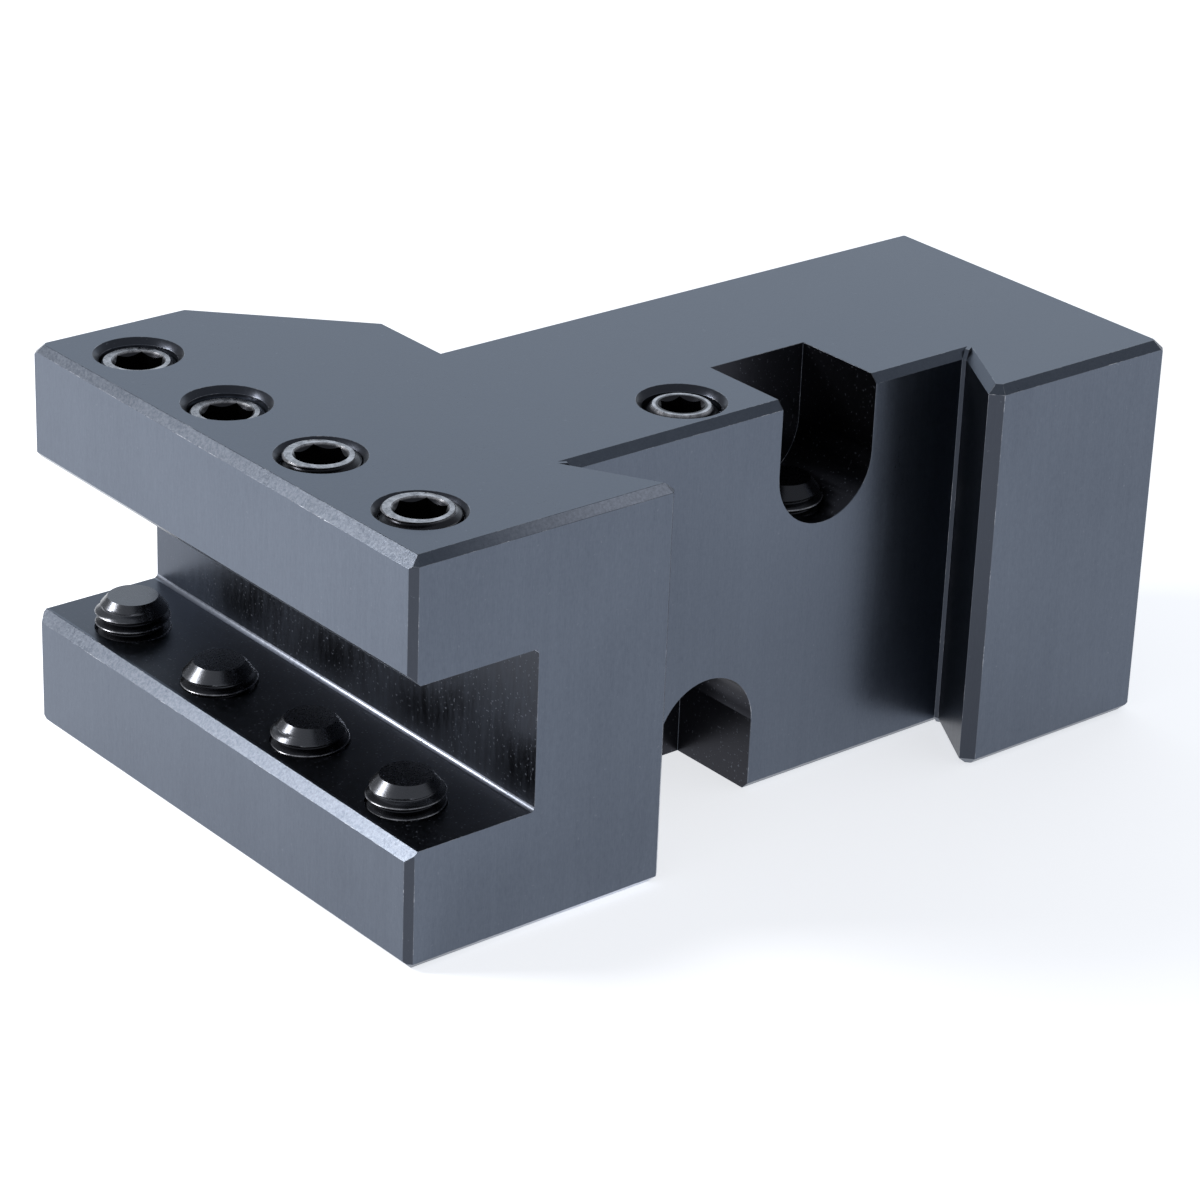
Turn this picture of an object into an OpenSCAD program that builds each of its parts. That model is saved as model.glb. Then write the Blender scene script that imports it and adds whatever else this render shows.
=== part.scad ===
// Tool holder for a quick-change tool post: one machined block that clamps a square
// lathe tool in an open-sided slot and hangs on the post by a dovetail.
// Frame: +Z up, origin at the middle of the footprint on the base.
// -X is the side where the tool slot opens, -Y is the dovetail side.

/* [Body] */
// Overall length, from the slot side to the far end
body_l = 148; // [144:1:160]
// Overall width, from the dovetail face to the back of the head
body_w = 98.5; // [90:0.5:102]
// Overall height
body_h = 65; // [60:1:75]
// Length of the wide head that carries the tool slot
head_l = 50.8; // [46:0.1:54]
// Leg of the 45 degree cut across the back corner of the head
corner_cut = 23; // [5:0.5:30]
// How far the back of the arm is set in from the back of the head
rear_step = 37.5; // [34:0.5:45]

/* [Tool slot] */
// Height of the slot, for a 25 mm square tool
slot_h = 26; // [20:0.5:30]
// Depth of the slot from its open side
slot_depth = 22.5; // [18:0.5:26]
// Radius left in the slot's two inner corners
slot_fillet = 0.8; // [0.4:0.1:1.5]

/* [Dovetail] */
// Depth of the channel
dove_depth = 14.7; // [11:0.1:18]
// Width of the channel across its floor
dove_floor_w = 78.6; // [70:0.2:83]
// Lean of each flank away from square
dove_lean = 30; // [26:1:32]
// Distance of the channel's middle from the middle of the body
dove_x = 4.6; // [0:0.1:6]
// Flat left on the tip beside the head
head_tip_flat = 1; // [0.5:0.1:2.5]
// Flat left on the tip beside the far end
end_tip_flat = 1.8; // [0.5:0.1:2.5]
// Flat left in each undercut corner
dove_root_flat = 0.7; // [0.5:0.1:2]

/* [Stop slots] */
// Width of each round-ended slot in the channel's floor
stop_w = 19; // [14:0.5:19]
// Depth of each slot behind the floor
stop_depth = 17; // [10:0.5:20]
// Distance of each slot's round end's centre from the face where it opens
stop_reach = 12.5; // [8:0.5:14]
// Distance of each slot from the channel's middle
stop_offset = 11; // [10.5:0.1:14]

/* [Clamp screws] */
// Thread diameter of every screw
thread_d = 12; // [10:0.5:12]
// Spacing of the screws along the slot
clamp_pitch = 24; // [20:0.5:24]
// Distance of the upper screws from the open side of the slot
upper_inset = 11; // [9:0.1:12]
// Distance of the lower screws from the open side of the slot
lower_inset = 9.3; // [9:0.1:12]
// Length of a clamp screw
clamp_l = 20; // [16:1:25]
// Size of a clamp screw's hexagon socket across its flats
clamp_hex = 7; // [5:0.5:7]
// How far each upper screw sits below the top face, back to front (negative is proud)
upper_sink = [1.1, 1.4, -0.2, -0.4]; // [-1:0.1:2]
// Bevel round the socket end of a clamp screw
clamp_taper = 0.6; // [0.3:0.1:1.5]
// How far the taper at the flat tip of every screw goes in
point_taper = 2; // [1:0.1:2.5]
// Length of that taper
point_l = 2.4; // [1.5:0.1:3]
// How far each lower screw stands up into the slot, from the back to the front
lower_rise = [5.3, 3.6, 3.7, 4.5]; // [0:0.1:6]

/* [Height screws] */
// Length of a height screw
height_l = 45; // [35:1:50]
// Size of its hexagon socket across its flats
height_hex = 6; // [4:0.5:7]
// Bevel round its socket end
height_taper = 1.5; // [0.5:0.1:2]
// How far each sits below the face it is turned from: the top one, then the base one
height_sink = [0.5, 2.5]; // [0:0.1:5]
// Distance of its axis behind the channel's floor
height_back = 9; // [8:0.1:10]

/* [Edges] */
// Bevel along the open side at the top and the base, at its dovetail end
side_bevel = 1.7; // [0.5:0.1:2.5]
// The same bevel at its back end
side_bevel_back = 1.1; // [0.5:0.1:2.5]
// Bevel along the two slot edges
slot_bevel = 1.6; // [0.5:0.1:2.5]
// Bevel round the dovetail side
front_bevel = 1.3; // [0.5:0.1:2]
// Bevel round the back and the far end
rear_bevel = 1.6; // [0.5:0.1:2]
// Bevel down the upright corners
corner_bevel = 1.1; // [0.5:0.1:2]

/* [Hidden] */
$fn = 96;
BLACK_OXIDE = [0.36, 0.39, 0.44];
SCREW_BLACK = [0.10, 0.10, 0.11];

// Corners of the body
x0 = -body_l / 2;
x1 = body_l / 2;
y0 = -body_w / 2;
y1 = body_w / 2;
head_x = x0 + head_l;
arm_y = y1 - rear_step;

// Channel
floor_y = y0 + dove_depth;
floor_h = dove_floor_w / 2;
function tip_h(flat) = floor_h - (dove_depth - flat) * tan(dove_lean);
head_tip_x = dove_x - tip_h(head_tip_flat);
end_tip_x = dove_x + tip_h(end_tip_flat);
root_x = dove_root_flat * sin(dove_lean);
root_y = dove_root_flat * cos(dove_lean);

// Tool slot
jaw_h = (body_h - slot_h) / 2;

// Screws and their holes; a socket's floor is the cone that its drill left
clamp_count = 4;
thread_r = thread_d / 2;
hole_gap = 0.05;
mouth_step = 1;
hole_r = thread_r + hole_gap;
hole_mouth_r = thread_r + mouth_step;
socket_share = 0.9;
drill_r_share = 0.45;
drill_depth_share = 0.25;
clamp_y = [for (i = [0 : clamp_count - 1]) clamp_pitch * ((clamp_count - 1) / 2 - i)];
height_y = floor_y + height_back;
stop_x = [dove_x - stop_offset, dove_x + stop_offset];
stop_end = stop_reach + stop_w / 2;

// How far cutters run past what they cut, a cone past its end, and a pad into the next
over = 3;
slip = 0.01;
root_back = 5;
arm_lap = head_l / 3;

// The body from above is four large convex pads and two narrow ones in the undercut
// corners. They overlap, so that every inner corner comes where two pads meet. A pad's
// corners run anticlockwise, and each carries the bevel of the side that leaves it; a
// side inside another pad has none or is covered. The open side's bevel is cut last.
jaw_pad = [
    [x0 + corner_bevel, y0, front_bevel],
    [head_tip_x - head_tip_flat, y0, front_bevel],
    [head_tip_x, y0 + head_tip_flat, front_bevel],
    [x0, floor_y + (dove_x - floor_h - x0) / tan(dove_lean), 0],
    [x0, y0 + corner_bevel, front_bevel]
];
head_pad = [
    [x0, floor_y, front_bevel],
    [head_x, floor_y, rear_bevel],
    [head_x, y1 - corner_cut, rear_bevel],
    [head_x - corner_cut, y1, rear_bevel],
    [x0 + corner_bevel, y1, rear_bevel],
    [x0, y1 - corner_bevel, 0]
];
arm_pad = [
    [head_x - arm_lap, floor_y, front_bevel],
    [x1, floor_y, rear_bevel],
    [x1, arm_y - corner_bevel, rear_bevel],
    [x1 - corner_bevel, arm_y, rear_bevel],
    [head_x - arm_lap, arm_y, 0]
];
end_pad = [
    [end_tip_x, y0 + end_tip_flat, front_bevel],
    [end_tip_x + end_tip_flat, y0, front_bevel],
    [x1 - corner_bevel, y0, rear_bevel],
    [x1, y0 + corner_bevel, rear_bevel],
    [x1, arm_y - corner_bevel, rear_bevel],
    [x1 - corner_bevel, arm_y, rear_bevel],
    [dove_x + floor_h + (arm_y - floor_y) * tan(dove_lean), arm_y, front_bevel]
];
// Ends of the flats in the two undercut corners
root_flats = [
    [
        [dove_x - floor_h + root_x, floor_y - root_y],
        [dove_x - floor_h + dove_root_flat, floor_y]
    ],
    [
        [dove_x + floor_h - dove_root_flat, floor_y],
        [dove_x + floor_h - root_x, floor_y - root_y]
    ]
];

function xy(corner) = [corner[0], corner[1]];
function unit(v) = v / norm(v);
function left_of(v) = [-v[1], v[0]];

// Cutter that takes a bevel off the top edge from p to q, with the body on its left
module bevel_wedge(p, q, bevel) {
    heading = q - p;
    translate([p[0], p[1], body_h - bevel])
        rotate([0, 0, atan2(heading[1], heading[0])])
            rotate([90, 0, 90])
                translate([0, 0, -over])
                    linear_extrude(norm(heading) + 2 * over)
                        polygon([[-over, -over], [bevel + over, bevel + over], [-over, bevel + over]]);
}

// Turns what is made at the top face into the same at the base
module from_base() {
    translate([0, 0, body_h])
        mirror([0, 0, 1])
            children();
}

// Full-height pad with its edges bevelled at the top and at the base
module pad(corners) {
    n = len(corners);
    difference() {
        linear_extrude(body_h)
            polygon([for (c = corners) xy(c)]);
        for (i = [0 : n - 1])
            if (corners[i][2] > 0) {
                bevel_wedge(xy(corners[i]), xy(corners[(i + 1) % n]), corners[i][2]);
                from_base()
                    bevel_wedge(xy(corners[i]), xy(corners[(i + 1) % n]), corners[i][2]);
            }
    }
}

// Narrow pad that blunts one undercut corner of the channel
module root_pad(flat) {
    back = root_back * unit(left_of(flat[1] - flat[0]));
    pad([
        concat(flat[0], front_bevel),
        concat(flat[1], 0),
        concat(flat[1] + back, 0),
        concat(flat[0] + back, 0)
    ]);
}

// Slot for the tool, open on the -X side and at both ends, with rounded inner corners
module tool_slot() {
    r = slot_fillet;
    translate([x0, y1 + over, jaw_h])
        rotate([90, 0, 0])
            linear_extrude(body_w + 2 * over)
                union() {
                    translate([-over, 0])
                        square([slot_depth + over - r, slot_h]);
                    translate([0, r])
                        square([slot_depth, slot_h - 2 * r]);
                    for (z = [r, slot_h - r])
                        translate([slot_depth - r, z])
                            circle(r = r);
                }
}

// Bevel along the top of the open side, a little narrower at the back
module open_side_bevel() {
    bevel_wedge(
        [x0 + side_bevel_back - side_bevel, y1],
        [x0, y0],
        side_bevel
    );
}

// Bevel along one slot edge: z is the jaw's face, up is +1 on the upper jaw
module slot_edge(z, up) {
    translate([x0, y1 + over, z])
        rotate([90, 0, 0])
            linear_extrude(body_w + 2 * over)
                polygon([
                    [-over, -up * over],
                    [slot_bevel + over, -up * over],
                    [-over, up * (slot_bevel + over)]
                ]);
}

// Round-ended slot in the channel's floor, open at the top of the body
module stop_slot() {
    translate([0, floor_y + stop_depth, body_h - stop_reach])
        rotate([90, 0, 0]) {
            cylinder(h = stop_depth + over, r = stop_w / 2);
            translate([-stop_w / 2, 0, 0])
                cube([stop_w, stop_reach + over, stop_depth + over]);
        }
}

// Screw hole from z = 0 down to -depth, with a bevelled mouth
module screw_hole(depth) {
    translate([0, 0, -depth - over])
        cylinder(h = depth + 2 * over, r = hole_r);
    translate([0, 0, -(hole_mouth_r - hole_r)])
        cylinder(h = hole_mouth_r - hole_r + slip, r1 = hole_r, r2 = hole_mouth_r + slip);
}

// Row of holes down through the upper jaw
module clamp_holes(inset) {
    for (y = clamp_y)
        translate([x0 + inset, y, body_h])
            screw_hole(jaw_h);
}

module holder_body() {
    color(BLACK_OXIDE)
        difference() {
            union() {
                pad(jaw_pad);
                pad(head_pad);
                pad(arm_pad);
                pad(end_pad);
                for (flat = root_flats)
                    root_pad(flat);
            }
            open_side_bevel();
            from_base()
                open_side_bevel();
            tool_slot();
            slot_edge(jaw_h, -1);
            slot_edge(jaw_h + slot_h, 1);
            clamp_holes(upper_inset);
            from_base()
                clamp_holes(lower_inset);
            translate([stop_x[1], 0, 0])
                stop_slot();
            from_base()
                translate([stop_x[0], 0, 0])
                    stop_slot();
            translate([stop_x[0], height_y, body_h])
                screw_hole(body_h - stop_end);
            from_base()
                translate([stop_x[1], height_y, body_h])
                    screw_hole(body_h - stop_end);
        }
}

// Set screw with its socket end at z = 0 and its flat tip at -length
module set_screw(length, hex, socket_taper) {
    socket_depth = hex * socket_share;
    drill_depth = hex * drill_depth_share;
    color(SCREW_BLACK)
        difference() {
            rotate_extrude()
                polygon([
                    [0, 0],
                    [0, -length],
                    [thread_r - point_taper, -length],
                    [thread_r, -length + point_l],
                    [thread_r, -socket_taper],
                    [thread_r - socket_taper, 0]
                ]);
            translate([0, 0, -socket_depth])
                cylinder(h = socket_depth + over, r = hex / 2 / cos(30), $fn = 6);
            translate([0, 0, -socket_depth - drill_depth])
                cylinder(h = drill_depth + slip, r1 = 0, r2 = hex * drill_r_share);
        }
}

// Clamp screws, counted from the back of the head to the front
module upper_clamp_screw(n) {
    translate([x0 + upper_inset, clamp_y[n - 1], body_h - upper_sink[n - 1]])
        set_screw(clamp_l, clamp_hex, clamp_taper);
}

module lower_clamp_screw(n) {
    translate([x0 + lower_inset, clamp_y[n - 1], jaw_h + lower_rise[n - 1] - clamp_l])
        mirror([0, 0, 1])
            set_screw(clamp_l, clamp_hex, clamp_taper);
}

// Height screws: one is turned from the top and one from the base
module upper_height_screw() {
    translate([stop_x[0], height_y, body_h - height_sink[0]])
        set_screw(height_l, height_hex, height_taper);
}

module lower_height_screw() {
    from_base()
        translate([stop_x[1], height_y, body_h - height_sink[1]])
            set_screw(height_l, height_hex, height_taper);
}

holder_body();
upper_clamp_screw(1);  // upper_clamp_screw_1
upper_clamp_screw(2);  // upper_clamp_screw_2
upper_clamp_screw(3);  // upper_clamp_screw_3
upper_clamp_screw(4);  // upper_clamp_screw_4
lower_clamp_screw(1);  // lower_clamp_screw_1
lower_clamp_screw(2);  // lower_clamp_screw_2
lower_clamp_screw(3);  // lower_clamp_screw_3
lower_clamp_screw(4);  // lower_clamp_screw_4
upper_height_screw();
lower_height_screw();
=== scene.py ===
import math

import bmesh
import bpy
from mathutils import Matrix, Vector


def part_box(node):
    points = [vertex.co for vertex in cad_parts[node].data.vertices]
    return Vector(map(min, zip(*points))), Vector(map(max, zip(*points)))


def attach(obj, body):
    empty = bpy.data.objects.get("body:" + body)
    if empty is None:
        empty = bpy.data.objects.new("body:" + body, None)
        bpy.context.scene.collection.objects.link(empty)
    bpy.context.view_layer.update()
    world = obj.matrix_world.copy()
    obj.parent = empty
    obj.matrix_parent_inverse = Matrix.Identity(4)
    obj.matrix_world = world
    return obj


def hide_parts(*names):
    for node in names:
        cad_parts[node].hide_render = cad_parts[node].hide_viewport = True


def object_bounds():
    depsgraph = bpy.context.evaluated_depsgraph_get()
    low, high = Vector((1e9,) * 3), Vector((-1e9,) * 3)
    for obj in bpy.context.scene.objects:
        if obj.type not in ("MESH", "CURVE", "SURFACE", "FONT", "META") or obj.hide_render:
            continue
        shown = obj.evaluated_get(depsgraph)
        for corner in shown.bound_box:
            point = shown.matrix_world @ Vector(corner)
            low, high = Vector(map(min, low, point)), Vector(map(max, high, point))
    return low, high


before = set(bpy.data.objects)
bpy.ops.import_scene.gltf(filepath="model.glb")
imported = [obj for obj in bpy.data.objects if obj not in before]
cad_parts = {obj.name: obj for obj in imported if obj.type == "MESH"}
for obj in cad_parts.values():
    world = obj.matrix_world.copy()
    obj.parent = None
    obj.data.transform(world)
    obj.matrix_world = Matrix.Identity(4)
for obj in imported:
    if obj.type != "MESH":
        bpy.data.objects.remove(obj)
cad_low, cad_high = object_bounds()

MM = 0.001


# Holder body: one block of medium-carbon steel, sawn, milled and ground square. The tool
# slot, dovetail channel and stop slots are milled in, every edge is bevelled with a file
# or a cutter, and the whole block is blackened in hot oxide and wiped with oil.
class Wire:
    """One socket of a finish, so that its maths reads as arithmetic."""

    def __init__(self, finish, socket):
        self.finish = finish
        self.socket = socket

    def maths(self, operation, first, second=0.0, clamp=False):
        settings = {"operation": operation, "use_clamp": clamp}
        return self.finish.node("ShaderNodeMath", settings, {0: first, 1: second})

    def __add__(self, other):
        return self.maths("ADD", self, other)

    __radd__ = __add__

    def __sub__(self, other):
        return self.maths("SUBTRACT", self, other)

    def __rsub__(self, other):
        return self.maths("SUBTRACT", other, self)

    def __mul__(self, other):
        return self.maths("MULTIPLY", self, other)

    __rmul__ = __mul__

    def __pow__(self, other):
        return self.maths("POWER", self, other)

    def __abs__(self):
        return self.maths("ABSOLUTE", self)

    def clamped(self):
        return self.maths("ADD", self, 0.0, clamp=True)

    def folded(self, length):
        """Runs up to length and back down again, over and over."""
        return self.maths("PINGPONG", self, length)

    def ramp(self, low, high, start=0.0, end=1.0):
        """Smooth step from start to end as this value goes from low to high."""
        settings = {"interpolation_type": "SMOOTHSTEP"}
        sockets = {
            "Value": self,
            "From Min": low,
            "From Max": high,
            "To Min": start,
            "To Max": end,
        }
        return self.finish.node("ShaderNodeMapRange", settings, sockets)


class Finish:
    """A named material and the nodes that make it."""

    def __init__(self, name):
        self.material = bpy.data.materials.new(name)
        self.material.use_nodes = True
        self.tree = self.material.node_tree
        self.tree.nodes.clear()

    def node(self, kind, settings=None, sockets=None, output=0):
        made = self.tree.nodes.new(kind)
        for key, value in (settings or {}).items():
            setattr(made, key, value)
        for key, value in (sockets or {}).items():
            if isinstance(value, Wire):
                self.tree.links.new(value.socket, made.inputs[key])
            else:
                made.inputs[key].default_value = value
        if not made.outputs:
            return None
        return Wire(self, made.outputs[output])

    def place(self):
        """Position on the piece, in metres."""
        return self.node("ShaderNodeTexCoord", output="Object")

    def parts_of(self, vector):
        """The three parts of a place or a direction."""
        return [self.node("ShaderNodeSeparateXYZ", None, {0: vector}, axis) for axis in "XYZ"]

    def facing(self):
        """The surface's own direction."""
        return self.node("ShaderNodeTexCoord", output="Normal")

    def noise(self, spacing, stretch=(1.0, 1.0, 1.0), detail=3.0, roughness=0.55, shift=0.0):
        """Noise from 0 to 1 with lumps of about this spacing, drawn out along the axes."""
        scale = [1.0 / (spacing * s) for s in stretch]
        spot = self.node(
            "ShaderNodeMapping",
            {"vector_type": "POINT"},
            {"Vector": self.place(), "Location": (shift, shift, shift), "Scale": scale},
        )
        return self.node(
            "ShaderNodeTexNoise",
            {"noise_dimensions": "3D"},
            {"Vector": spot, "Scale": 1.0, "Detail": detail, "Roughness": roughness},
        )

    def blend(self, amount, first, second):
        """Colour that goes from first to second."""
        return self.node(
            "ShaderNodeMix",
            {"data_type": "RGBA", "clamp_factor": True},
            {0: amount, 6: first, 7: second},
            2,
        )

    def metal(self, colour, roughness, bumps, fixed):
        """Ends the finish in one metal shader. bumps are (height, strength, depth) in turn."""
        normal = None
        for height, strength, depth in bumps:
            sockets = {"Height": height, "Strength": strength, "Distance": depth}
            if normal is not None:
                sockets["Normal"] = normal
            normal = self.node("ShaderNodeBump", None, sockets)
        sockets = {"Base Color": colour, "Roughness": roughness, "Normal": normal}
        sockets.update(fixed)
        shader = self.node("ShaderNodeBsdfPrincipled", None, sockets)
        self.node("ShaderNodeOutputMaterial", None, {"Surface": shader})
        return self.material


def middle_of(node):
    low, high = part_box(node)
    return (low + high) / 2


# Places on the block that its finish depends on
BODY_LOW, BODY_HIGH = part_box("holder_body")
SLOT_WALL_X = BODY_LOW.x + 22.5 * MM
JAW_HEIGHT = 19.5 * MM
HEAD_TIP_X = -27.3 * MM
CHANNEL_FLOOR_Y = -34.55 * MM
STOP_DEPTH = 17 * MM
STOP_END = 22 * MM
STOP_HALF = 9.5 * MM
MOUTH_R = 7.0 * MM
SCREW_SPACING = 24 * MM
# How slanted a face is, from where a bevel starts to count to where it counts in full
SLANT = (0.30, 0.42)


def black_oxide():
    """Ground and blackened steel: upright grinding lines, faint clouds, rubbed bevels, with
    painted shade in the slots and mouths and painted highlights on some edges.
    """
    finish = Finish("black_oxide_steel")
    grain = finish.noise(0.22 * MM, (1.0, 1.0, 7.0), detail=4.0, roughness=0.7)
    pits = finish.noise(0.5 * MM, detail=5.0, roughness=0.75, shift=41.0)
    lines = finish.noise(0.9 * MM, (1.0, 1.0, 30.0), detail=3.0, roughness=0.6, shift=3.1)
    clouds = finish.noise(17 * MM, (1.0, 1.0, 1.4), detail=4.0, shift=7.7)
    specks = finish.noise(0.8 * MM, detail=2.0, shift=12.3).ramp(0.70, 0.78)

    facing_x, facing_y, facing_z = finish.parts_of(finish.facing())
    x, y, z = finish.parts_of(finish.place())

    def between(value, low, high):
        """1 from low to high, with a soft edge at each."""
        edge = 0.05 * MM
        rise = value.ramp(low - edge, low + edge)
        return rise * value.ramp(high - edge, high + edge, 1.0, 0.0)

    def near(value, middle, half):
        return between(value, middle - half, middle + half)

    def under(value, low, high):
        """1 up to low, then down to 0 at high."""
        return value.ramp(low, high, 1.0, 0.0)

    # Bevels along the open side, on the other edges, and down the front corners
    open_x, front_y = BODY_LOW.x, BODY_LOW.y
    side_bevel = abs(facing_x * facing_z).ramp(*SLANT)
    side_bevel = side_bevel * under(x, open_x + 1.8 * MM, open_x + 1.9 * MM)
    front_bevel = abs(facing_y * facing_z).ramp(*SLANT)
    upright_bevel = abs(facing_x * facing_y).ramp(*SLANT)
    corner = upright_bevel * under(y, -30 * MM, -20 * MM)
    tip_edge_glints = near(x, HEAD_TIP_X, 0.7 * MM) * upright_bevel
    tip_edge_glints = tip_edge_glints * under(y, front_y + 1.05 * MM, front_y + 1.15 * MM)
    head_bevel_highlight = front_bevel * under(y, front_y + 1.65 * MM, front_y + 1.85 * MM)
    head_bevel_highlight = head_bevel_highlight * x.ramp(-72 * MM, -34 * MM) * under(x, -26 * MM, -25 * MM)

    # Milled places darkened with painted shade: the tool slot, the stop slots and the screw
    # mouths
    past = 0.15 * MM
    jaw_faces = between(z, JAW_HEIGHT - past, BODY_HIGH.z - JAW_HEIGHT + past)
    in_slot = between(x, open_x + 2 * MM, SLOT_WALL_X + 0.6 * MM) * jaw_faces
    in_slot = in_slot * (1 - abs(facing_y).ramp(0.5, 0.7)) * y.ramp(15 * MM, 47 * MM, 1.0, 0.45)
    fillet_highlight = in_slot * abs(facing_x * facing_z).ramp(0.10, 0.25)

    upper_stop_x = middle_of("lower_height_screw").x
    lower_stop_x = middle_of("upper_height_screw").x
    wide = STOP_HALF + 0.1 * MM
    from_end = BODY_HIGH.z - STOP_END
    in_stop = near(x, upper_stop_x, wide) * z.ramp(from_end - 0.2 * MM, from_end - 0.1 * MM)
    in_lower = near(x, lower_stop_x, wide) * under(z, STOP_END + 0.1 * MM, STOP_END + 0.2 * MM)
    stop_back_y = CHANNEL_FLOOR_Y + STOP_DEPTH
    in_stop = (in_stop + in_lower) * between(y, CHANNEL_FLOOR_Y + past, stop_back_y + 0.1 * MM)

    half_spacing = SCREW_SPACING / 2
    row_y = half_spacing - abs(y).folded(half_spacing)
    clamp_from = ((x - middle_of("upper_clamp_screw_1").x) ** 2 + row_y ** 2) ** 0.5
    height_at = middle_of("upper_height_screw")
    height_from = ((x - height_at.x) ** 2 + (y - height_at.y) ** 2) ** 0.5
    mouth_edge = (MOUTH_R, MOUTH_R + 0.1 * MM)
    mouth = under(clamp_from, *mouth_edge) + under(height_from, *mouth_edge)
    mouth = mouth * z.ramp(BODY_HIGH.z - 1.5 * MM, BODY_HIGH.z - 1.3 * MM)
    mouth = mouth * (1 - facing_z.ramp(0.85, 0.95))

    dark = (0.078, 0.092, 0.121, 1.0)
    light = (0.150, 0.174, 0.216, 1.0)
    rubbed = (0.22, 0.24, 0.28, 1.0)
    painted_highlight_pale = (0.56, 0.60, 0.70, 1.0)
    # oily also serves as the painted shade colour in the tool slot and on the front upright
    # bevels
    oily = (0.040, 0.043, 0.052, 1.0)
    painted_shade_black = (0.030, 0.029, 0.034, 1.0)
    tone = clouds * 0.4 + grain * 0.7 + lines * 0.25 + pits * 0.5 - 0.42
    colour = finish.blend(tone.clamped(), dark, light)
    colour = finish.blend(side_bevel * (pits.ramp(0.3, 0.7) * 0.7 + 0.1), colour, rubbed)
    # Painted highlight: the head's front bevel is painted pale, rising towards the head's tip
    colour = finish.blend(head_bevel_highlight * (pits.ramp(0.3, 0.7) * 0.4 + 0.6), colour, painted_highlight_pale)
    # Painted shade: the upright bevels towards the front are darkened
    colour = finish.blend(corner * 0.75, colour, oily)
    # Painted glints: specks of pale highlight down the upright edge at the head's tip
    colour = finish.blend(tip_edge_glints * pits.ramp(0.35, 0.6, 0.25, 1.0), colour, painted_highlight_pale)
    streaks = finish.noise(1.1 * MM, (1.0, 1.0, 6.0), detail=4.0, roughness=0.7, shift=20.0)
    # Painted shade: the inside of the tool slot is darkened, less towards the back
    colour = finish.blend(in_slot * streaks.ramp(0.35, 0.75, 0.97, 0.70), colour, oily)
    # Painted highlight: a pale line along the fillets inside the tool slot
    colour = finish.blend(fillet_highlight * 0.9, colour, painted_highlight_pale)
    # Painted shade: the stop slots and the screw mouths are darkened nearly to black
    colour = finish.blend((in_stop * 0.9 + mouth * 0.7).clamped(), colour, painted_shade_black)
    dust = finish.noise(0.40 * MM, detail=0.0, shift=31.0).ramp(0.745, 0.78)
    dusty = dust * (in_slot + in_stop * 0.6).clamped()
    colour = finish.blend((specks * 0.3 + dusty * 0.8).clamped(), colour, rubbed)
    roughness = grain * 0.14 + pits * 0.10 + lines * 0.06 + clouds * 0.08 + 0.13
    roughness = roughness + dusty * 0.3 + in_slot * streaks.ramp(0.3, 0.7) * 0.14
    bumps = [(lines, 0.10, 0.05 * MM), (grain, 0.22, 0.03 * MM), (pits, 0.25, 0.03 * MM)]
    return finish.metal(colour, roughness, bumps, {"Metallic": 1.0, "IOR": 1.5})


def rubbed_edge():
    """The thin line along an edge where the oxide has worn through to the steel."""
    finish = Finish("rubbed_edge")
    patches = finish.noise(6 * MM, detail=5.0, roughness=0.7, shift=2.2)
    nicks = finish.noise(0.7 * MM, detail=2.0, shift=5.0)
    worn = (patches.ramp(0.45, 0.70) * nicks.ramp(0.35, 0.65)).clamped()
    colour = finish.blend(worn, (0.12, 0.135, 0.165, 1.0), (0.55, 0.56, 0.60, 1.0))
    roughness = nicks * 0.15 + 0.22
    return finish.metal(colour, roughness, [(nicks, 0.2, 0.03 * MM)], {"Metallic": 1.0})


SAME_CORNER = 0.001 * MM
EDGE_BREAK = 0.12 * MM
EDGE_ANGLE = math.radians(18)

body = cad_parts["holder_body"]
body.data.materials.clear()
body.data.materials.append(black_oxide())
body.data.materials.append(rubbed_edge())
weld = body.modifiers.new("join_faces", "WELD")
weld.merge_threshold = SAME_CORNER
edges = body.modifiers.new("broken_edges", "BEVEL")
edges.width = EDGE_BREAK
edges.segments = 2
edges.limit_method = "ANGLE"
edges.angle_limit = EDGE_ANGLE
edges.material = 1
edges.harden_normals = True


# Set screws: black alloy-steel socket screws with a flat point, thread M12 x 1.75. Eight
# clamp the tool from both jaws and two set the height on the post. Each is rolled, with
# its hexagon socket forged in and both ends bevelled by the thread's run-out.
PITCH = 1.75 * MM
CREST_R = 5.97 * MM
ROOT_R = 4.90 * MM
POINT_TAPER = 2.0 * MM
POINT_LENGTH = 2.4 * MM
POINT_DISH = 0.25 * MM
ROUND = 72
FULL_TURN = 2 * math.pi
SOCKET_BEVEL = 0.12 * MM
SOCKET_SHARE = 0.9
# The drilled bottom of the socket, as shares of the hexagon's width
DRILL_R_SHARE = 0.42
DRILL_TIP_SHARE = 0.02
DRILL_DEPTH_SHARE = 0.22
DRILL_STEP = 0.2 * MM
SAME_PLACE = 0.0005 * MM
SMOOTH_UP_TO = math.radians(32)
# Place in one pitch and share of the thread's height, from one crest to the next
THREAD_STEPS = [
    (0.0, 0.90), (0.03, 0.975), (0.0625, 1.0), (0.095, 0.975), (0.125, 0.90), (0.21, 0.70),
    (0.30, 0.47), (0.39, 0.23), (0.48, 0.02), (0.5625, -0.04), (0.645, 0.02), (0.73, 0.23),
    (0.82, 0.47), (0.91, 0.70),
]


def thread_height(turn):
    """Share of the thread's height at a place counted in turns from a crest's start."""
    part = turn % 1.0
    steps = THREAD_STEPS + [(1.0, THREAD_STEPS[0][1])]
    for (low, low_height), (high, high_height) in zip(steps, steps[1:]):
        if part <= high:
            return low_height + (high_height - low_height) * (part - low) / (high - low)
    return THREAD_STEPS[0][1]


def hexagon_r(angle, across):
    """Distance from the middle to a hexagon's side at this angle."""
    return across / 2 / math.cos((angle + math.pi / 6) % (math.pi / 3) - math.pi / 6)


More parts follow.
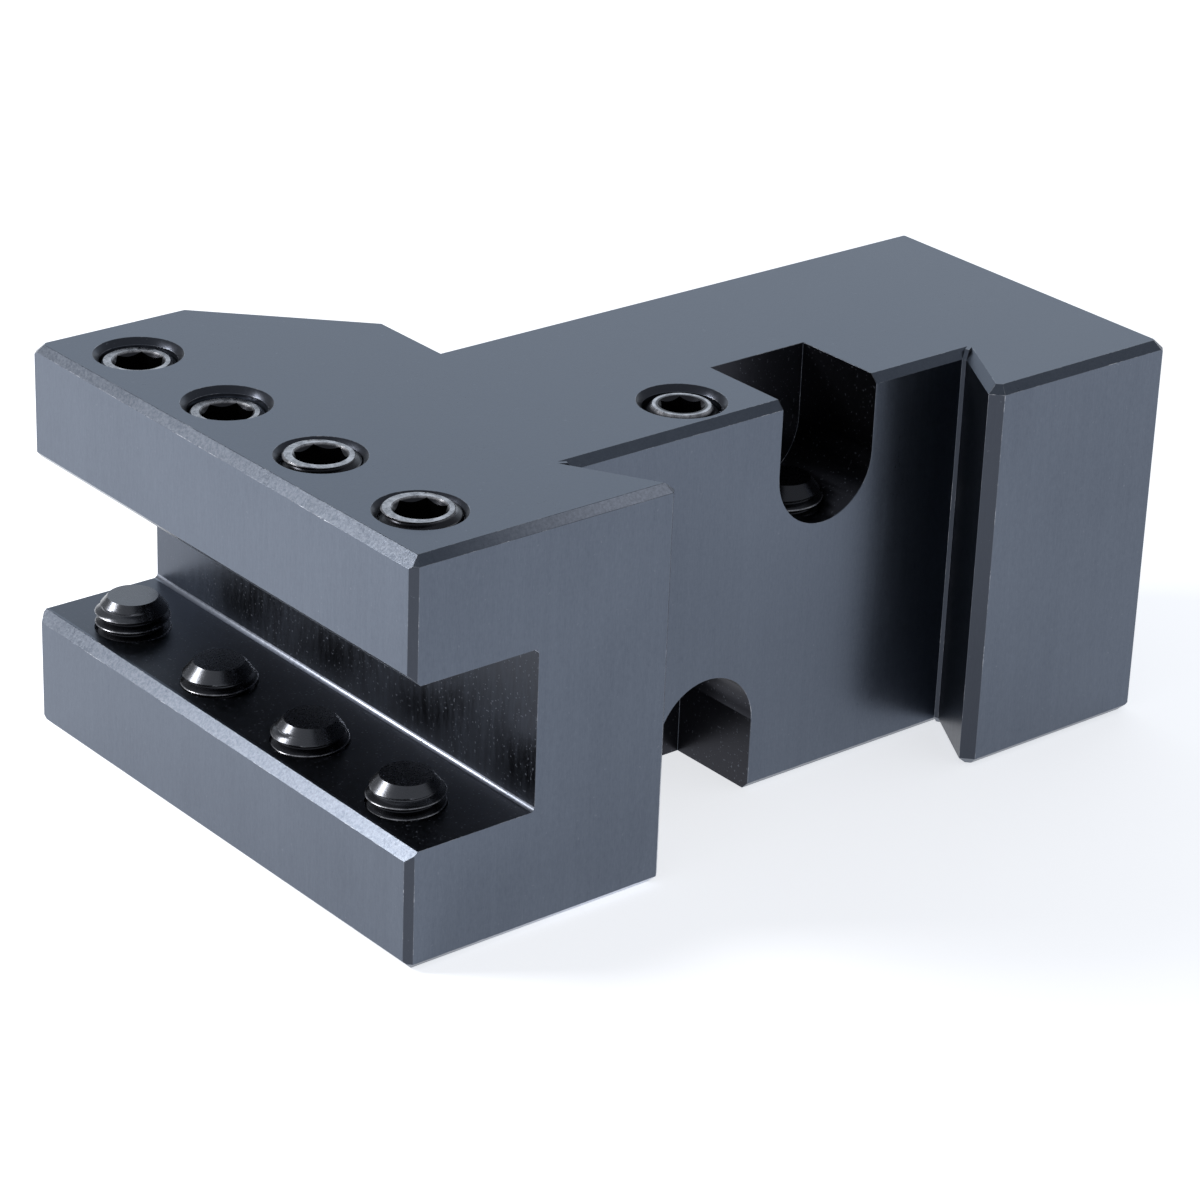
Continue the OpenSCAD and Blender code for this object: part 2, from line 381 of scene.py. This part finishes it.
def set_screw(name, length, across, socket_taper):
    """Screw along Z with its socket's face at 0 and its point at -length."""
    shape = bmesh.new()
    rows = range(-len(THREAD_STEPS), len(THREAD_STEPS) * (round(length / PITCH) + 3))

    def at(angle, r, z):
        return shape.verts.new((r * math.cos(angle), r * math.sin(angle), z))

    def skin_point(step, row):
        angle = FULL_TURN * step / ROUND
        turn = row // len(THREAD_STEPS) + THREAD_STEPS[row % len(THREAD_STEPS)][0]
        z = (turn + step / ROUND) * PITCH - length - PITCH
        z = min(0.0, max(-length, z))
        height = thread_height((z + length + PITCH) / PITCH - step / ROUND)
        r = ROOT_R + height * (CREST_R - ROOT_R)
        taper = POINT_TAPER / POINT_LENGTH
        r = min(r, CREST_R - socket_taper - z, CREST_R - POINT_TAPER + (z + length) * taper)
        return at(angle, r, z)

    skin = [[skin_point(step, row) for row in rows] for step in range(ROUND)]
    turn_rows = len(THREAD_STEPS)
    for step in range(ROUND):
        here = skin[step]
        there = skin[(step + 1) % ROUND]
        lead = turn_rows if step == ROUND - 1 else 0
        for low in range(turn_rows, len(rows) - turn_rows - 1):
            high = low + 1
            shape.faces.new((here[low], there[low + lead], there[high + lead], here[high]))
    top_ring = [column[-1] for column in skin]
    point_ring = [column[0] for column in skin]

    def ring(r_of, z_of):
        made = []
        for step in range(ROUND):
            angle = FULL_TURN * step / ROUND
            made.append(at(angle, r_of(angle), z_of(angle)))
        return made

    def join(outer, inner):
        for step in range(ROUND):
            after = (step + 1) % ROUND
            shape.faces.new((outer[step], outer[after], inner[after], inner[step]))

    mouth_r = across / 2 / math.cos(math.pi / 6) + SOCKET_BEVEL
    depth = across * SOCKET_SHARE
    rings = [
        top_ring,
        ring(lambda a: mouth_r, lambda a: 0.0),
        ring(lambda a: hexagon_r(a, across), lambda a: hexagon_r(a, across) - mouth_r),
        ring(lambda a: hexagon_r(a, across), lambda a: -depth),
        ring(lambda a: across * DRILL_R_SHARE, lambda a: -depth - DRILL_STEP),
        ring(lambda a: across * DRILL_TIP_SHARE, lambda a: -depth - across * DRILL_DEPTH_SHARE),
    ]
    for outer, inner in zip(rings, rings[1:]):
        join(outer, inner)
    shape.faces.new(rings[-1])
    point_inner = ring(lambda a: CREST_R - POINT_TAPER - POINT_DISH, lambda a: -length)
    join(point_inner, point_ring)
    shape.faces.new(list(reversed(point_inner)))

    bmesh.ops.remove_doubles(shape, verts=shape.verts, dist=SAME_PLACE)
    bmesh.ops.dissolve_degenerate(shape, edges=shape.edges, dist=SAME_PLACE)
    bmesh.ops.recalc_face_normals(shape, faces=shape.faces)
    for face in shape.faces:
        face.smooth = True
    for edge in shape.edges:
        edge.smooth = edge.is_manifold and edge.calc_face_angle(0.0) < SMOOTH_UP_TO
    mesh = bpy.data.meshes.new(name)
    shape.to_mesh(mesh)
    shape.free()
    piece = bpy.data.objects.new(name, mesh)
    bpy.context.scene.collection.objects.link(piece)
    return piece


def screw_steel(name, length, glint, tip_tone):
    """Black oiled screw steel: dark roots and socket, with crests and ring face painted light,
    partly rubbed wear and partly painted glints.
    """
    finish = Finish(name)
    x, y, z = finish.parts_of(finish.place())
    reach = (x * x + y * y) ** 0.5
    grain = finish.noise(0.30 * MM, detail=4.0, roughness=0.7)
    patches = finish.noise(1.6 * MM, detail=4.0, roughness=0.65, shift=4.0)
    wear = (patches.ramp(0.35, 0.65) * 0.65 + grain.ramp(0.3, 0.7) * 0.35).clamped()
    # Painted glints, partly rubbed wear: the ring face round the socket and the thread crests
    # are painted light
    ring = z.ramp(-0.5 * MM, -0.1 * MM) * reach.ramp(3.8 * MM, 4.1 * MM)
    crest = reach.ramp(5.75 * MM, 5.92 * MM) * z.ramp(-1.2 * MM, -0.8 * MM, 1.0, 0.0)
    tip = z.ramp(-length + 2.3 * MM, -length + 2.5 * MM, 1.0, 0.0)
    oily = (0.040, 0.041, 0.047, 1.0)
    rubbed = (0.14, 0.145, 0.16, 1.0)
    wear_and_glint = finish.blend(wear, rubbed, (glint, glint, glint * 1.05, 1.0))
    colour = finish.blend(tip * tip_tone, oily, rubbed)
    colour = finish.blend((ring + crest).clamped(), colour, wear_and_glint)
    roughness = grain * 0.18 + patches * 0.10 + 0.13
    bumps = [(grain, 0.2, 0.03 * MM), (patches, 0.2, 0.06 * MM)]
    return finish.metal(colour, roughness, bumps, {"Metallic": 1.0})


CLAMP_HEX = 7 * MM
HEIGHT_HEX = 6 * MM
CLAMP_LENGTH = 20 * MM
HEIGHT_LENGTH = 45 * MM
CLAMP_TAPER = 0.6 * MM
HEIGHT_TAPER = 1.5 * MM
# How far each screw is turned about its own axis, in degrees
REST_TURN = {
    "upper_clamp_screw_1": 20, "upper_clamp_screw_2": 5,
    "upper_clamp_screw_3": 40, "upper_clamp_screw_4": 10,
    "lower_clamp_screw_1": 75, "lower_clamp_screw_2": 215,
    "lower_clamp_screw_3": 130, "lower_clamp_screw_4": 300,
    "upper_height_screw": 25, "lower_height_screw": 160,
}
clamp_steel = screw_steel("clamp_screw_steel", CLAMP_LENGTH, 0.55, 0.8)
height_steel = screw_steel("height_screw_steel", HEIGHT_LENGTH, 0.62, 0.1)
for node, turn in REST_TURN.items():
    low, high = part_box(node)
    is_clamp = "clamp" in node
    points_down = node.startswith("upper")
    piece = set_screw(
        node + "_threaded",
        high.z - low.z,
        CLAMP_HEX if is_clamp else HEIGHT_HEX,
        CLAMP_TAPER if is_clamp else HEIGHT_TAPER,
    )
    piece.data.materials.append(clamp_steel if is_clamp else height_steel)
    middle = (low + high) / 2
    face_z = high.z if points_down else low.z
    flip = Matrix.Identity(4) if points_down else Matrix.Rotation(math.pi, 4, "X")
    spin = Matrix.Rotation(math.radians(turn), 4, "Z")
    piece.matrix_world = Matrix.Translation((middle.x, middle.y, face_z)) @ flip @ spin
    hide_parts(node)
    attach(piece, node)


# Tapped threads: the M12 thread cut in the block's own steel. It shows only in the five
# holes of the base, where the screws sit deeper than the holes' bevelled mouths.
HOLE_R = 6.05 * MM
THREAD_GAP = 0.07 * MM
WALL_R = 6.4 * MM
BEFORE_SCREW = 0.2 * MM
ROWS_PER_MM = 9
LEFT_AT_ROOT = 0.01 * MM
THREAD_SMOOTH_UP_TO = math.radians(60)


def tapped_thread(name, middle, face_z, length, turn):
    """Ring of thread between a hole's mouth and the screw's face, in step with the screw."""
    low_z = MOUTH_R - HOLE_R
    high_z = face_z - BEFORE_SCREW
    count = max(2, round((high_z - low_z) / MM * ROWS_PER_MM))
    shape = bmesh.new()
    loops = []
    for row in range(count + 1):
        z = low_z + (high_z - low_z) * row / count
        inner = []
        for step in range(ROUND):
            angle = FULL_TURN * step / ROUND
            turns = (face_z - z + length + PITCH) / PITCH
            turns += (angle + math.radians(turn)) / FULL_TURN
            screw_r = ROOT_R + thread_height(turns) * (CREST_R - ROOT_R)
            r = min(HOLE_R - LEFT_AT_ROOT, max(screw_r + THREAD_GAP, MOUTH_R - z))
            inner.append(shape.verts.new((r * math.cos(angle), r * math.sin(angle), z)))
        loops.append(inner)
    for z in (high_z, low_z):
        outer = []
        for step in range(ROUND):
            angle = FULL_TURN * step / ROUND
            place = (WALL_R * math.cos(angle), WALL_R * math.sin(angle), z)
            outer.append(shape.verts.new(place))
        loops.append(outer)
    for here, there in zip(loops, loops[1:] + loops[:1]):
        for step in range(ROUND):
            after = (step + 1) % ROUND
            shape.faces.new((here[step], here[after], there[after], there[step]))
    bmesh.ops.recalc_face_normals(shape, faces=shape.faces)
    for face in shape.faces:
        face.smooth = True
    for edge in shape.edges:
        edge.smooth = edge.calc_face_angle(0.0) < THREAD_SMOOTH_UP_TO
    mesh = bpy.data.meshes.new(name)
    shape.to_mesh(mesh)
    shape.free()
    piece = bpy.data.objects.new(name, mesh)
    bpy.context.scene.collection.objects.link(piece)
    piece.location = (middle.x, middle.y, 0.0)
    return piece


def cut_thread_steel():
    """The body's blackened steel as a tap leaves it: darker, oily, rubbed on the crests."""
    finish = Finish("cut_thread_steel")
    x, y, z = finish.parts_of(finish.place())
    reach = (x * x + y * y) ** 0.5
    grain = finish.noise(0.3 * MM, detail=3.0)
    crest = reach.ramp(5.15 * MM, 5.0 * MM, 1.0, 0.0)
    rubbed = (0.11, 0.12, 0.14, 1.0)
    oily = (0.05, 0.054, 0.064, 1.0)
    colour = finish.blend((1 - crest) * 0.8 + grain * 0.2, rubbed, oily)
    return finish.metal(colour, grain * 0.2 + 0.2, [(grain, 0.2, 0.03 * MM)], {"Metallic": 1.0})


thread_steel = cut_thread_steel()
for node, turn in REST_TURN.items():
    if node.startswith("upper"):
        continue
    low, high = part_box(node)
    piece = tapped_thread(node + "_hole_thread", (low + high) / 2, low.z, high.z - low.z, turn)
    piece.data.materials.append(thread_steel)
    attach(piece, "holder_body")


# Studio: a pale table whose face glows as painted light, in place of a lamp below, in a dim
# room. A broad soft light low behind on the right serves the top faces and a smaller one behind
# on the left the bevels.
TABLE_HALF = 6.0
TABLE_GLOW = 1.2


def glowing_table():
    """Pale plastic whose face glows as painted light, a little more behind on the left."""
    finish = Finish("glowing_pale_table")
    x, y, z = finish.parts_of(finish.place())
    drift = finish.noise(400 * MM, detail=2.0)
    shade = finish.blend(drift, (0.80, 0.80, 0.81, 1.0), (0.82, 0.82, 0.83, 1.0))
    # Painted light: the table's own glow, stronger behind on the left
    painted_glow_pool = y.ramp(-90 * MM, 70 * MM) * x.ramp(-60 * MM, 60 * MM, 1.0, 0.0)
    glow = finish.blend(painted_glow_pool, (0.55, 0.56, 0.58, 1.0), (0.76, 0.77, 0.79, 1.0))
    sockets = {
        "Base Color": shade,
        "Roughness": 0.9,
        "Specular IOR Level": 0.1,
        "Emission Color": glow,
        "Emission Strength": TABLE_GLOW,
    }
    shader = finish.node("ShaderNodeBsdfPrincipled", None, sockets)
    finish.node("ShaderNodeOutputMaterial", None, {"Surface": shader})
    return finish.material


table = bpy.data.meshes.new("table_top")
corners = [(-1, -1), (1, -1), (1, 1), (-1, 1)]
table.from_pydata(
    [(x * TABLE_HALF, y * TABLE_HALF, cad_low.z) for x, y in corners], [], [(0, 1, 2, 3)]
)
table.materials.append(glowing_table())
floor = bpy.data.objects.new("table_top", table)
bpy.context.scene.collection.objects.link(floor)


def soft_light(name, place, width, height, glow, colour):
    """Rectangular light turned to the holder; glow is the brightness of its face."""
    lamp = bpy.data.lights.new(name, "AREA")
    lamp.shape = "RECTANGLE"
    lamp.size = width
    lamp.size_y = height
    lamp.energy = glow * math.pi * width * height
    lamp.color = colour
    holder = bpy.data.objects.new(name, lamp)
    holder.location = place
    holder.rotation_euler = (-Vector(place)).to_track_quat("-Z", "Y").to_euler()
    bpy.context.scene.collection.objects.link(holder)


soft_light("behind_right", (0.80, 0.98, 0.62), 1.7, 0.9, 0.62, (0.86, 0.97, 1.08))
soft_light("behind_left", (-0.70, 0.52, 0.50), 0.28, 0.28, 20.0, (1.0, 1.0, 1.0))

world = bpy.data.worlds.new("dim_room")
world.use_nodes = True
room = world.node_tree.nodes["Background"]
room.inputs["Color"].default_value = (0.90, 0.94, 1.0, 1.0)
room.inputs["Strength"].default_value = 0.35
bpy.context.scene.world = world
bpy.context.scene.view_settings.view_transform = "Standard"

CAMERA_AT = Vector((-0.36887, -0.44166, 0.28772))
LOOK = Vector((0.58187, 0.69581, -0.42105))
ROLL = math.radians(2.19)
LENS_MM = 118.88
camera = bpy.data.objects.new("camera", bpy.data.cameras.new("camera"))
camera.data.lens = LENS_MM
camera.data.sensor_width = 36.0
camera.data.clip_start = 0.01
camera.location = CAMERA_AT
level = LOOK.to_track_quat("-Z", "Y").to_matrix().to_4x4()
camera.rotation_euler = (level @ Matrix.Rotation(ROLL, 4, "Z")).to_euler()
bpy.context.scene.collection.objects.link(camera)
bpy.context.scene.camera = camera
